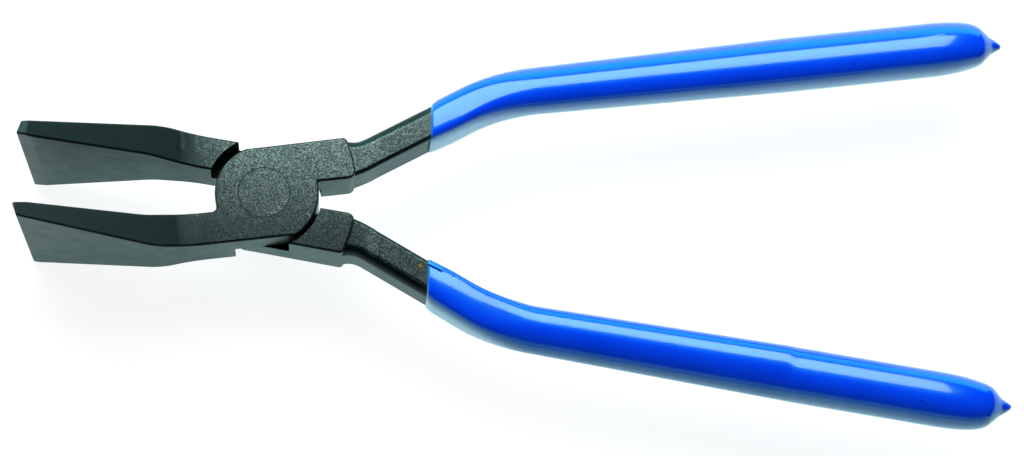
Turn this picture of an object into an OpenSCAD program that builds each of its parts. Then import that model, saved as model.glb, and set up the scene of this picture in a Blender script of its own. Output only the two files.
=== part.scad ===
// Seaming pliers with a lap joint: two forged halves, one flush rivet and two dipped grips.
// The origin is the centre of the rivet's near head, level with the face of the near plate.
// +X runs from the rivet to the handles, +Y to the front half's handle, and +Z out of the near
// face, along the rivet. Each half is drawn as it lies in shut pliers and is then turned by half
// of the opening. The rear half is the front half turned over about the X axis.

/* [Pose] */
// Angle between the two halves at rest
opening = 16.4; // [0:0.1:45]

/* [Head] */
// Thickness of the head, measured along the rivet
head_t = 17.6; // [15:0.1:21]
// Width of the shut head, across both jaws
head_w = 26.2; // [23:0.1:30]
// Gap between the faces of the two lapped plates
lap_clearance = 0.1; // [0.05:0.05:0.3]
// How far the plate's throat end reaches past half of the head's width
throat_extra = 0.5; // [0:0.1:1.2]
// How far the plate's other end reaches past half of the head's width
plate_extra = 2.1; // [1.5:0.1:4]
// Gap between the plate's ends and the round wall of the pocket that it turns in
pocket_clearance = 1; // [0.4:0.1:1.5]
// Fillet where the throat meets the jaw
throat_fillet_r = 1.5; // [0.5:0.1:3]

/* [Rivet] */
// Diameter of the rivet's shaft
rivet_d = 9; // [7:0.1:11]
// Diameter of the rivet's heads, dressed flush with the plates
rivet_head_d = 14.5; // [12.5:0.1:18]
// Depth of the rivet's countersunk heads
rivet_head_t = 2.8; // [1.5:0.1:4]
// Radial gap round the rivet in the half that turns on it
rivet_clearance = 0.05; // [0.02:0.01:0.1]

/* [Jaws] */
// Reach of the jaws, from the rivet's axis to the tips
jaw_reach = 67.6; // [58:0.5:80]
// Width of the jaws at their tips, measured along the rivet
jaw_w = 54; // [44:0.5:64]
// Thickness of each jaw at its tip
tip_t = 3.8; // [2.5:0.1:5.5]
// How far the tip's end face leans back to its outer corner
tip_lean = 0.7; // [0:0.1:2]
// Length of the flat land that grips the sheet
land_l = 4; // [2:0.5:8]
// Gap that stays between the two lands when the jaws are shut
bite_gap = 0.1; // [0.05:0.05:0.4]
// Depth of the relief behind each land
relief_depth = 3.8; // [2.5:0.1:5]
// Distance from the rivet's axis at which the relief reaches its full depth
relief_x = 33; // [28:0.1:42]
// Distance from the rivet's axis at which the jaw reaches its full thickness
jaw_root_x = 30.7; // [27:0.1:36]
// Blend between the jaw's taper and the side of the head
jaw_root_r = 25; // [10:1:40]
// Distance from the rivet's axis at which the jaw starts to flare
flare_x = 21.5; // [20:0.1:28]
// Blend between the head's faces and the flare
flare_r = 20; // [5:1:25]
// Bevel on the jaw's corner at the tip, on the near side
tip_bevel = 0.8; // [0.4:0.1:3]
// Length of the level flat on the jaw's corner at the tip, on the far side
tip_flat_l = 2.6; // [0.4:0.1:5]

/* [Shoulders] */
// Reach of the shoulder blocks behind the rivet's axis, at their inner corners
block_reach = 26.1; // [23:0.1:32]
// How far the block's end leans back to its outer corner
block_lean = 1.7; // [0:0.1:3]
// Gap between the two shoulder blocks when the jaws are shut
block_gap = 3; // [1:0.1:5]
// How far the block's outer corner stands out past the side of the head
block_spread = 0.3; // [0:0.1:0.8]
// Rounding of the shoulder block's inner corner
block_inner_r = 2.2; // [1:0.1:4]
// Rounding of the shoulder block's outer corner
block_outer_r = 1.2; // [0.5:0.1:4]
// How far the middle of the block's end stands out
block_crown = 0.3; // [0.1:0.1:1.5]
// Rounding of that middle
block_crown_r = 6; // [2:0.5:10]

/* [Shanks] */
// Width of the bare shank, measured across the handle
shank_w = 8.8; // [7:0.1:10.5]
// Thickness of the bare shank, measured along the rivet
shank_t = 15; // [11:0.1:16.5]
// Rounding of the bare shank's edges on the side that faces the other shank
shank_inner_r = 1.2; // [0.5:0.1:3]
// Rounding of the bare shank's edges on its outer side
shank_outer_r = 3; // [0.5:0.1:3.4]
// How far inside the shoulder block's reach the shank's first bend starts
root_sink = 1.6; // [1:0.1:3]
// How far the shank's middle line starts outside the middle of the shoulder block
root_shift = 0.3; // [0:0.1:0.8]
// How far the shank's outer side flares out where it meets the shoulder block
root_outer_flare = 1.2; // [0:0.1:1.5]
// How far its inner side does
root_inner_flare = 0.9; // [0:0.1:1.2]
// Length of these flares
root_flare_l = 8; // [2:0.5:12]
// Angle at which the shank leaves the head
shank_angle = 21.2; // [14:0.1:27]
// Radius of the bend at the shoulder block
root_bend_r = 16; // [12:0.5:24]
// Radius of the bend into the handle
handle_bend_r = 60; // [40:1:90]
// Distance of the handle's axis from the middle of shut pliers
handle_offset = 23.8; // [20:0.1:30]
// Distance from the rivet's axis to the end of the steel
steel_reach = 207; // [170:1:240]
// Diameter of the steel where it has become round
core_d = 10.9; // [9:0.1:13]
// Diameter of the steel in the fullest part of the handle
core_full_d = 13; // [10:0.1:15]
// Length over which the round steel swells to its full diameter
swell_l = 72; // [40:1:100]
// Diameter of the flat at the steel's end
steel_end_d = 8; // [5:0.5:9.5]
// Length over which the steel's end rounds off
steel_end_l = 3; // [1:0.5:4]

/* [Grips] */
// Length of bare steel along the shank, from its first bend to the edge of the dipped sleeve
bare_l = 19.6; // [15:0.1:21]
// Angle between the sleeve's edge and a square cut across the shank
dip_lean = 29; // [0:1:32]
// Wall of the dipped sleeve
grip_wall = 1.2; // [0.8:0.1:2]
// Thickness of the sleeve's edge
lip_t = 0.4; // [0.2:0.05:0.7]
// Length over which the sleeve's edge builds up to the full wall
lip_l = 5; // [3:0.5:5.5]
// Length of the sleeve past the end of the steel, without its drip
cap_l = 6; // [3:0.5:12]
// Length over which the sleeve rounds off at its end
dome_l = 18; // [10:0.5:24]
// Length of the drip that the dipping leaves at the sleeve's end
drip_l = 2.7; // [1:0.1:4]
// Radius of the drip
drip_r = 2; // [0.8:0.1:2.4]
// How far the sleeve's end sags towards the middle of the pliers, where its drip starts
sag = 0.8; // [0:0.1:1.5]
// Length of the sleeve's end that sags
sag_l = 9; // [5:0.5:14]

/* [Hidden] */
$fn = 96;
steel_colour = [0.33, 0.4, 0.39];
rivet_colour = [0.42, 0.48, 0.47];
grip_colour = [0.02, 0.27, 0.95];

SIDES = 32; // points round a shank or a grip, a multiple of four
ARC_STEPS = 6; // straight steps in a rounded corner of an outline
BEND_RINGS = 9; // rings along the handle's bend
SWELL_RINGS = 4; // rings where the round steel swells
DOME_POWER = 2.5; // how blunt the sleeve's end is; 2 would be an ellipse
INSIDE = 2; // how deep a shank starts inside its shoulder block
PAST = 1; // how far a cutter runs past what it cuts
half_w = head_w / 2;
throat_r = half_w + throat_extra;
plate_r = half_w + plate_extra;
pocket_r = plate_r + pocket_clearance;
land_y = -bite_gap / 2;
tip_outer_y = land_y - tip_t;
relief_y = land_y - relief_depth;
block_middle_y = (half_w + block_gap / 2) / 2;

// Lengths along the middle line of a shank and its handle, from the shoulder block
bend_rise = 1 - cos(shank_angle);
root_x = block_reach - root_sink;
root_y = block_middle_y + root_shift;
straight_l = (handle_offset - root_y - (root_bend_r + handle_bend_r) * bend_rise)
    / sin(shank_angle);
root_bend_l = root_bend_r * shank_angle * PI / 180;
dip_s = root_bend_l + bare_l;
handle_bend_s = root_bend_l + straight_l;
handle_s = handle_bend_s + handle_bend_r * shank_angle * PI / 180;
root_bend_end = [root_x + root_bend_r * sin(shank_angle),
    root_y + root_bend_r * bend_rise];
straight_end = root_bend_end + straight_l * [cos(shank_angle), sin(shank_angle)];
handle_start = straight_end + handle_bend_r * [sin(shank_angle), bend_rise];
steel_s = handle_s + steel_reach - handle_start.x;
round_s = dip_s + lip_l;
dome_end_s = steel_s + cap_l;

// Turns a list of [x, y, corner radius] into an outline with round corners.
function rounded(corners) = [
    for (i = [0 : len(corners) - 1])
        let (
            here = corners[i],
            p = [here.x, here.y],
            before = corners[(i + len(corners) - 1) % len(corners)],
            after = corners[(i + 1) % len(corners)],
            u = unit([before.x, before.y] - p),
            v = unit([after.x, after.y] - p),
            half = acos(max(-1, min(1, u * v))) / 2,
            back = here.z / tan(half),
            centre = p + unit(u + v) * here.z / sin(half),
            a0 = heading(p + u * back - centre),
            turn = wrap(heading(p + v * back - centre) - a0)
        )
        for (k = [0 : here.z > 0 ? ARC_STEPS : 0])
            here.z > 0 ? centre + here.z * away(a0 + turn * k / ARC_STEPS) : p
];
function unit(v) = v / norm(v);
function away(angle) = [cos(angle), sin(angle)];
function heading(v) = atan2(v.y, v.x);
function wrap(angle) = angle > 180 ? angle - 360 : angle < -180 ? angle + 360 : angle;
function mix(a, b, t) = a + (b - a) * t;
function ease(t) = let (c = max(0, min(1, t))) c * c * (3 - 2 * c);

// The middle line of a shank and its handle, at a length s from the shoulder block.
// It gives [x, y, heading].
function middle_line(s) =
    s < 0 ? [root_x + s, root_y, 0] :
    s < root_bend_l ? let (a = s / root_bend_r * 180 / PI)
        [root_x + root_bend_r * sin(a), root_y + root_bend_r * (1 - cos(a)), a] :
    s < handle_bend_s ? let (p = root_bend_end + (s - root_bend_l) * away(shank_angle))
        [p.x, p.y, shank_angle] :
    s < handle_s ? let (a = (handle_s - s) / handle_bend_r * 180 / PI)
        [handle_start.x - handle_bend_r * sin(a),
         handle_start.y - handle_bend_r * (1 - cos(a)), a] :
    [handle_start.x + s - handle_s, handle_start.y, 0];

// How much of the root's flare is left at the length s, from 1 to 0.
function flared(s) = pow(max(0, 1 - max(0, s) / root_flare_l), 2);

// Half width, half thickness, inner and outer edge radius of the steel at the length s.
function steel_section(s) =
    let (
        t = ease((s - round_s) / (handle_s - round_s)),
        swollen = mix(core_d, core_full_d, max(0, min(1, (s - handle_s) / swell_l))) / 2,
        end = max(0, (s - steel_s + steel_end_l) / steel_end_l),
        r = mix(swollen, steel_end_d / 2, end * end),
        flare = flared(s) * (root_outer_flare + root_inner_flare) / 2
    )
    [mix(shank_w / 2, r, t) + flare, mix(shank_t / 2, r, t),
     mix(shank_inner_r, r, t), mix(shank_outer_r, r, t)];

// Wall of the sleeve at the length s: a thin edge that builds up to the full wall.
function wall(s) = mix(lip_t, grip_wall, sqrt(max(0, min(1, (s - dip_s) / lip_l))));

// The same four values for the sleeve's outside: the steel's, grown by the wall, then a blunt
// dome that ends in a drip.
function grip_section(s) =
    let (
        core = steel_section(min(s, steel_s - steel_end_l)),
        t = max(0, (s - dome_end_s + dome_l) / dome_l),
        dome = pow(max(0, 1 - pow(t, DOME_POWER)), 1 / DOME_POWER),
        drip = drip_r * sqrt(1 - pow(max(0, s - dome_end_s) / drip_l, 2)),
        full = core + wall(s) * [1, 1, 1, 1]
    )
    [for (v = full) max(v * dome, s > dome_end_s - drip_l ? drip : 0)];

// How far the sleeve's end has sagged at the length s.
function sagged(s) = sag * pow(max(0, (s - dome_end_s + sag_l) / sag_l), 2);

// One ring of points round the middle line, shifted across it. lean slides its points along the
// line, so that the ring lies in a leaning plane.
function ring(s, section, lean, shift = 0) =
    let (at = middle_line(s), across = at.z + 90)
    [
        for (i = [0 : SIDES - 1])
            let (
                angle = (i + 0.5) * 360 / SIDES,
                edge_r = section[cos(angle) > 0 ? 3 : 2],
                side = on_edge(cos(angle), section.x, edge_r) + shift,
                up = on_edge(sin(angle), section.y, edge_r),
                along = side * lean
            )
            [at.x + side * cos(across) + along * cos(at.z),
             at.y + side * sin(across) + along * sin(at.z), up]
    ];

// One coordinate of a point on a rounded rectangle, from its direction's cosine or sine.
function on_edge(part, half, edge_r) = edge_r * part + sign(part) * (half - edge_r);

// Skins a list of rings, with a flat cap at each end.
module skin(rings) {
    last = (len(rings) - 1) * SIDES;
    polyhedron(
        points = [for (r = rings) each r],
        faces = concat(
            [[for (i = [0 : SIDES - 1]) i]],
            [
                for (k = [0 : len(rings) - 2], i = [0 : SIDES - 1])
                    let (j = (i + 1) % SIDES, a = k * SIDES, b = a + SIDES)
                    each [[a + i, b + i, b + j], [a + i, b + j, a + j]]
            ],
            [[for (i = [SIDES - 1 : -1 : 0]) last + i]]
        ),
        convexity = 6
    );
}

// Where the rings lie: on the bare steel, then under the sleeve from its leaning edge on.
bare_stations = [
    -INSIDE,
    for (t = [0, 0.3, 0.6, 1]) root_bend_l * t,
    dip_s - lip_l
];
bend_stations = [for (k = [1 : BEND_RINGS]) mix(round_s, handle_s, k / BEND_RINGS)];
swell_stations = [for (k = [1 : SWELL_RINGS]) handle_s + swell_l * k / SWELL_RINGS];
end_stations = [for (t = [0, 0.4, 0.7, 1]) steel_s - steel_end_l * (1 - t)];
sleeved_stations = concat([dip_s, round_s], bend_stations, swell_stations, end_stations);
dome_s = dome_end_s - dome_l;
outer_stations = concat(
    [for (t = [0, 0.04, 0.2, 0.5, 1]) dip_s + lip_l * t],
    bend_stations,
    swell_stations,
    [for (t = [0, 0.25, 0.5, 0.68, 0.82, 0.9, 0.95]) dome_s + dome_l * t],
    [for (t = [0, 0.5, 0.8, 0.96]) dome_end_s + drip_l * t]
);

// The lean fades from the sleeve's edge to square rings before the handle's bend.
function lean_at(s) = tan(dip_lean) * max(0, min(1, (round_s - s) / lip_l));
function steel_ring(s) = ring(s, steel_section(s), s < dip_s ? 0 : lean_at(s),
    flared(s) * (root_outer_flare - root_inner_flare) / 2);
function grip_ring(s) = ring(s, grip_section(s), lean_at(s), -sagged(s));

// Plan of a whole half in shut pliers: jaw, plate and shoulder block.
module plan() {
    polygon(rounded([
        [-jaw_reach, land_y, 0],
        [-jaw_reach + land_l, land_y, 0],
        [-relief_x, relief_y, jaw_root_r],
        [0, relief_y, 0],
        [0, -half_w, 0],
        [-jaw_root_x, -half_w, jaw_root_r],
        [-jaw_reach + tip_lean, tip_outer_y, 0]
    ]));
    polygon(rounded([
        [0, half_w, 0],
        [0, block_gap / 2, 0],
        [block_reach, block_gap / 2, block_inner_r],
        [block_reach - block_lean / 2 + block_crown, block_middle_y, block_crown_r],
        [block_reach - block_lean, half_w + block_spread, block_outer_r]
    ]));
    intersection() {
        square([2 * plate_r, head_w], center = true);
        union() {
            circle(r = throat_r);
            intersection() {
                circle(r = plate_r);
                translate([0, -plate_r]) square([plate_r, 2 * plate_r]);
            }
        }
    }
    throat_fillet();
}

// Fillet between the round throat and the jaw's inner face.
module throat_fillet() {
    centre_y = relief_y + throat_fillet_r;
    centre_x = -sqrt(pow(throat_r + throat_fillet_r, 2) - centre_y * centre_y);
    centre = [centre_x, centre_y];
    touch = centre * throat_r / (throat_r + throat_fillet_r);
    difference() {
        polygon([centre, [centre_x, relief_y - PAST], [0, relief_y - PAST], [0, touch.y], touch]);
        translate(centre) circle(r = throat_fillet_r);
    }
}

// Side view of a whole half, seen along Y: the jaw flares from the head to its tip.
module side() {
    half_t = head_t / 2;
    half_jaw = jaw_w / 2;
    past_block = block_reach + block_crown + PAST;
    tip_slope = (half_jaw - half_t) / (jaw_reach - flare_x);
    bevel_z = half_jaw - tip_bevel * tip_slope;
    flat_z = half_jaw - tip_flat_l * tip_slope;
    polygon(rounded([
        [past_block, -half_t, 0],
        [past_block, half_t, 0],
        [-flare_x, half_t, flare_r],
        [-jaw_reach + tip_bevel, bevel_z, 0],
        [-jaw_reach, bevel_z - tip_bevel, 0],
        [-jaw_reach, -flat_z, 0],
        [-jaw_reach + tip_flat_l, -flat_z, 0],
        [-flare_x, -half_t, flare_r]
    ]));
}

// The rivet with its two countersunk heads, wider by gap all round, centred on the joint plane.
module rivet_shape(gap) {
    half_t = head_t / 2;
    shaft_r = rivet_d / 2 + gap;
    rivet_head_r = rivet_head_d / 2 + gap;
    rotate_extrude() polygon([
        [0, -half_t], [rivet_head_r, -half_t], [shaft_r, rivet_head_t - half_t],
        [shaft_r, half_t - rivet_head_t], [rivet_head_r, half_t], [0, half_t]
    ]);
}

// One forged half as it lies in shut pliers, with the joint plane at z = 0.
module half(rivet_gap) {
    difference() {
        intersection() {
            linear_extrude(jaw_w, center = true) plan();
            rotate([90, 0, 0]) linear_extrude(2 * head_w, center = true) side();
        }
        translate([0, 0, lap_clearance / 2 - head_t]) cylinder(r = pocket_r, h = head_t);
        rivet_shape(rivet_gap);
    }
    skin([for (s = concat(bare_stations, sleeved_stations)) steel_ring(s)]);
}

// One dipped sleeve: its inside from the steel's end to the leaning edge, then its outside.
module sleeve() {
    inside = [for (i = [len(sleeved_stations) - 1 : -1 : 0]) steel_ring(sleeved_stations[i])];
    outside = [for (s = outer_stations) grip_ring(s)];
    skin(concat(inside, outside));
}

// Puts what is drawn shut, with the joint plane at z = 0, into the part's frame.
module front_side() {
    translate([0, 0, -head_t / 2]) rotate(opening / 2) children();
}

module rear_side() {
    translate([0, 0, -head_t / 2]) rotate([180, 0, 0]) rotate(opening / 2) children();
}

module front_half() {
    color(steel_colour) front_side() half(0);
}

module rear_half() {
    color(steel_colour) rear_side() half(rivet_clearance);
}

module rivet() {
    color(rivet_colour) front_side() rivet_shape(0);
}

module front_grip() {
    color(grip_colour) front_side() sleeve();
}

module rear_grip() {
    color(grip_colour) rear_side() sleeve();
}

front_half();
rear_half();
rivet();
front_grip();
rear_grip();
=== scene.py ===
"""Seaming pliers, dressed for the render: two forged halves, a flush rivet and two dipped grips.

Every piece is modelled in millimetres as it lies in shut pliers, with the joint's plane at z = 0
and the rivet's axis at the origin. It is then turned by half of the opening into its place.
"""

from __future__ import annotations

import logging
import math
from dataclasses import dataclass, field
from enum import Enum
from functools import cached_property, reduce
from typing import Callable, Sequence

import bmesh
import bpy
from bmesh.types import BMEdge, BMesh, BMFace, BMVert
from bpy.types import Material, NodeSocket as Socket, Object
from bpy.types import bpy_prop_collection as Outputs
from mathutils import Matrix, Vector


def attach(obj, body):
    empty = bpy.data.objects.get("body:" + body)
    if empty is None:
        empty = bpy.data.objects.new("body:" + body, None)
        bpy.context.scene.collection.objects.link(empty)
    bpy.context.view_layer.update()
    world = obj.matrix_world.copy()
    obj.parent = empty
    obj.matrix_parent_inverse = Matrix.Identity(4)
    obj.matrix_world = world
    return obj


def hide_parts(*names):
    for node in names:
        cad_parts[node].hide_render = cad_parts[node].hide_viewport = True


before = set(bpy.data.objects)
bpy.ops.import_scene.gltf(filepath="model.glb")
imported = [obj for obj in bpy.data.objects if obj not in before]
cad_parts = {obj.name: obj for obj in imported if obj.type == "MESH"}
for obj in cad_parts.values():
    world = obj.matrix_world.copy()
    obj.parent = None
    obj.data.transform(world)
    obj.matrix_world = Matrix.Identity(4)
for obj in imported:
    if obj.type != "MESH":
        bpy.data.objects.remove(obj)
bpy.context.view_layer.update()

Colour = tuple[float, float, float]
Place = tuple[float, float, float]
Span = tuple[float, float]

LOG = logging.getLogger("seaming_pliers")
MM = 0.001
MERGE = 0.0005  # Points nearer than this, in millimetres, become one
HEAD_T = 17.6  # Thickness of the two lapped plates
OPENING = math.radians(16.4)  # Angle between the halves at rest
SIDES = 64  # Points of a ring round the handle
WHITE: Colour = (1.0, 1.0, 1.0)
IN_PLAN: Place = (1.0, 1.0, 0.0)


class Side(Enum):
    """The two sides of the joint, by the name of the body that each one moves with."""

    FRONT = "front_side"
    REAR = "rear_side"

    def placement(self) -> Matrix:
        """Finds where the side's pieces go.

        Returns:
            The matrix from millimetres in shut pliers to metres in the CAD frame.
        """
        turned = Matrix.Rotation(math.pi, 4, "X") if self is Side.REAR else Matrix.Identity(4)
        down = Matrix.Translation((0, 0, -HEAD_T / 2))
        return Matrix.Scale(MM, 4) @ down @ turned @ Matrix.Rotation(OPENING / 2, 4, "Z")


def mix(a: float, b: float, t: float) -> float:
    """Value between a and b at the share t."""
    return a + (b - a) * t


def clamped(t: float) -> float:
    """The value t, kept from 0 to 1."""
    return max(0.0, min(1.0, t))


def spaced(a: float, b: float, steps: int) -> list[float]:
    """Evenly spaced values from a, which is left out, to b."""
    return [mix(a, b, k / steps) for k in range(1, steps + 1)]


def followed(outline: Sequence[Span], at: float) -> float:
    """Follows an outline smoothly through its points.

    Args:
        outline: Its points, by growing first number.
        at: Where on the outline, by the first number.

    Returns:
        The second number there.
    """
    if at >= outline[-1][0]:
        return outline[-1][1]
    slopes = [(b[1] - a[1]) / (b[0] - a[0]) for a, b in zip(outline, outline[1:])]
    turns = [slopes[0], *((a + b) / 2 for a, b in zip(slopes, slopes[1:])), 0.0]
    i = max(k for k, point in enumerate(outline) if point[0] <= at)
    (x0, y0), (x1, y1) = outline[i], outline[i + 1]
    t = (at - x0) / (x1 - x0)
    start = (1 + 2 * t) * (1 - t) ** 2 * y0 + t * (1 - t) ** 2 * (x1 - x0) * turns[i]
    end = t * t * (3 - 2 * t) * y1 + t * t * (t - 1) * (x1 - x0) * turns[i + 1]
    return start + end


def away(angle: float) -> Vector:
    """Unit vector in the plan at an angle in radians."""
    return Vector((math.cos(angle), math.sin(angle), 0))


def bow(turn: float) -> Vector:
    """Way to the end of an arc of radius 1, which starts along X and makes this turn."""
    return Vector((math.sin(turn), 1 - math.cos(turn), 0))


FLAT_AREA = 60e-6  # Square metres from which faces of one direction count as flat
CREASE = math.radians(36)  # Angle up to which faces are shaded as one
FACING_STEPS = 400


def facing(face: BMFace) -> tuple[int, ...]:
    """The face's direction, rounded so that the parts of one flat face share it."""
    return tuple(round(c * FACING_STEPS) for c in face.normal)


def crisp_normals(bm: BMesh) -> list[Vector]:
    """Finds normals that keep flat faces flat and let only the round edges turn.

    Args:
        bm: A mesh in metres.

    Returns:
        One normal for each corner of each face, in order.
    """
    areas: dict[tuple[int, ...], float] = {}
    sizes = {face: face.calc_area() for face in bm.faces}
    for face, size in sizes.items():
        areas[facing(face)] = areas.get(facing(face), 0.0) + size
    flat = {face for face in bm.faces if areas[facing(face)] > FLAT_AREA}
    normals = []
    for face in bm.faces:
        for vert in face.verts:
            if face in flat:
                normals.append(face.normal.copy())
                continue
            near = [f for f in vert.link_faces if f.normal.angle(face.normal, 0) < CREASE]
            level = [f for f in near if f in flat]
            if level:
                normals.append(max(level, key=sizes.get).normal.copy())
            else:
                total = sum((f.normal * sizes[f] for f in near), Vector())
                normals.append(total.normalized() if total.length else face.normal.copy())
    return normals


def linked(name: str, data: bpy.types.ID) -> Object:
    """Puts a new object into the scene.

    Args:
        name: Its name.
        data: Its mesh, camera or lamp.

    Returns:
        The object.
    """
    made = bpy.data.objects.new(name, data)
    bpy.context.scene.collection.objects.link(made)
    return made


def meshed(name: str, bm: BMesh) -> Object:
    """Makes an object of a mesh.

    Args:
        name: Its name.
        bm: The mesh, which is freed.

    Returns:
        The object.
    """
    mesh = bpy.data.meshes.new(name)
    bm.to_mesh(mesh)
    bm.free()
    return linked(name, mesh)


def finished(name: str, bm: BMesh, side: Side,
             material: Material, node: str, crisp: bool = True) -> Object:
    """Puts a modelled mesh in its place, dresses it and lets it ride on its body.

    Args:
        name: Name of the new piece.
        bm: Its mesh in millimetres, which is freed.
        side: The side of the joint that it belongs to.
        material: Its material.
        node: The CAD node that it replaces.
        crisp: True for steel, whose flat faces stay flat up to their round edges.

    Returns:
        The new object, at the origin.
    """
    bmesh.ops.remove_doubles(bm, verts=bm.verts, dist=MERGE)
    bmesh.ops.recalc_face_normals(bm, faces=bm.faces)
    bmesh.ops.transform(bm, matrix=side.placement(), verts=bm.verts)
    for face in bm.faces:
        face.smooth = True
    corner_normals = crisp_normals(bm) if crisp else None
    piece = meshed(name, bm)
    if corner_normals:
        piece.data.normals_split_custom_set(corner_normals)
    piece.data.materials.append(material)
    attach(piece, side.value)
    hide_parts(node)
    LOG.info("%s: %d faces", name, len(piece.data.polygons))
    return piece


def applied(made: Object, *others: Object) -> BMesh:
    """Applies a scratch object's modifiers and throws it away.

    Args:
        made: The scratch object, with its modifiers live.
        others: Further scratch objects that they use, which go too.

    Returns:
        The resulting mesh.
    """
    bpy.context.view_layer.update()
    shown = made.evaluated_get(bpy.context.evaluated_depsgraph_get())
    result = bmesh.new()
    result.from_mesh(shown.to_mesh())
    shown.to_mesh_clear()
    for thrown in (made, *others):
        mesh = thrown.data
        bpy.data.objects.remove(thrown)
        bpy.data.meshes.remove(mesh)
    return result


class Way(Enum):
    """The ways in which one mesh acts on another."""

    COMMON = "INTERSECT"
    ADDED = "UNION"
    CUT = "DIFFERENCE"


def joined(bm: BMesh, other: BMesh, way: Way) -> BMesh:
    """Runs one exact boolean on two meshes.

    Args:
        bm: The mesh that is changed, which is freed.
        other: The mesh that cuts it or is added to it, which is freed.
        way: How it does so.

    Returns:
        The result as a new mesh.
    """
    for source in (bm, other):
        bmesh.ops.recalc_face_normals(source, faces=source.faces)
    base, tool = meshed("base", bm), meshed("tool", other)
    boolean = base.modifiers.new("boolean", "BOOLEAN")
    boolean.operation = way.value
    boolean.solver = "EXACT"
    boolean.object = tool
    result = applied(base, tool)
    bmesh.ops.remove_doubles(result, verts=result.verts, dist=MERGE)
    return result


@dataclass
class Pen:
    """Draws a closed outline in the plan and makes a prism of it."""

    first: Span
    rounds: list[tuple[BMVert, float]] = field(default_factory=list)
    round_steps: int = 6

    def __post_init__(self) -> None:
        """Sets the pen down at the first corner."""
        self.bm = bmesh.new()
        self.start = self.at = self.bm.verts.new((*self.first, 0))

    def line(self, x: float, y: float, radius: float = 0.0) -> None:
        """Draws a straight line to a corner.

        Args:
            x: The corner's place along the pliers.
            y: Its place across them.
            radius: Radius by which it is rounded at the end.
        """
        corner = self.bm.verts.new((x, y, 0))
        self.bm.edges.new((self.at, corner))
        self.at = corner
        if radius:
            self.rounds.append((corner, radius))

    def swing(self, centre: Span, angle: float, step: float) -> None:
        """Swings the pen round a centre.

        Args:
            centre: The centre's place.
            angle: How far, in degrees.
            step: About the angle of one edge, in degrees.
        """
        swept = bmesh.ops.spin(self.bm, geom=[self.at], cent=(*centre, 0), axis=(0, 0, 1),
                               dvec=(0, 0, 0), angle=math.radians(angle),
                               steps=max(1, round(abs(angle) / step)), use_merge=False,
                               use_duplicate=False)
        self.at = next(v for v in swept["geom_last"] if isinstance(v, BMVert))

    def prism(self, height: float) -> BMesh:
        """Closes the outline, rounds its corners and extrudes it.

        Args:
            height: The prism's height, half of it to each side of the plane.

        Returns:
            The prism.
        """
        bm = self.bm
        bm.edges.new((self.at, self.start))
        bmesh.ops.contextual_create(bm, geom=bm.edges[:])
        for corner, radius in self.rounds:
            arms = [e.other_vert(corner).co - corner.co for e in corner.link_edges]
            half = arms[0].angle(arms[1]) / 2
            bmesh.ops.bevel(bm, geom=[corner], offset=radius / math.tan(half), material=-1,
                            offset_type="OFFSET", segments=self.round_steps, profile=0.5,
                            affect="VERTICES", clamp_overlap=False)
        base = bmesh.ops.extrude_face_region(bm, geom=bm.faces[:])
        top = [v for v in base["geom"] if isinstance(v, BMVert)]
        bmesh.ops.translate(bm, verts=bm.verts, vec=(0, 0, -height / 2))
        bmesh.ops.translate(bm, verts=top, vec=(0, 0, height))
        bmesh.ops.recalc_face_normals(bm, faces=bm.faces)
        return bm


def ringed(rings: Sequence[Sequence[Vector]]) -> BMesh:
    """Lofts a skin through rings of points, with a flat cap at each end.

    Args:
        rings: Rings with as many points each, in the same order round the middle line.

    Returns:
        The closed mesh.
    """
    bm = bmesh.new()
    circle = bmesh.ops.create_circle(bm, segments=SIDES, radius=1, cap_ends=True)["verts"]
    verts = sorted(circle, key=lambda v: math.atan2(v.co.y, v.co.x) % math.tau)
    edges = list(dict.fromkeys(e for v in verts for e in v.link_edges))
    for vert, point in zip(verts, rings[0]):
        vert.co = point
    for ring in rings[1:]:
        grown = bmesh.ops.extrude_edge_only(bm, edges=edges)["geom"]
        fresh = {g for g in grown if isinstance(g, BMVert)}
        verts = [next(e.other_vert(v) for e in v.link_edges if e.other_vert(v) in fresh)
                 for v in verts]
        edges = [g for g in grown if isinstance(g, BMEdge)
                 and g.verts[0] in fresh and g.verts[1] in fresh]
        for vert, point in zip(verts, ring):
            vert.co = point
    bmesh.ops.edgeloop_fill(bm, edges=edges)
    bmesh.ops.recalc_face_normals(bm, faces=bm.faces)
    return bm


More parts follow.
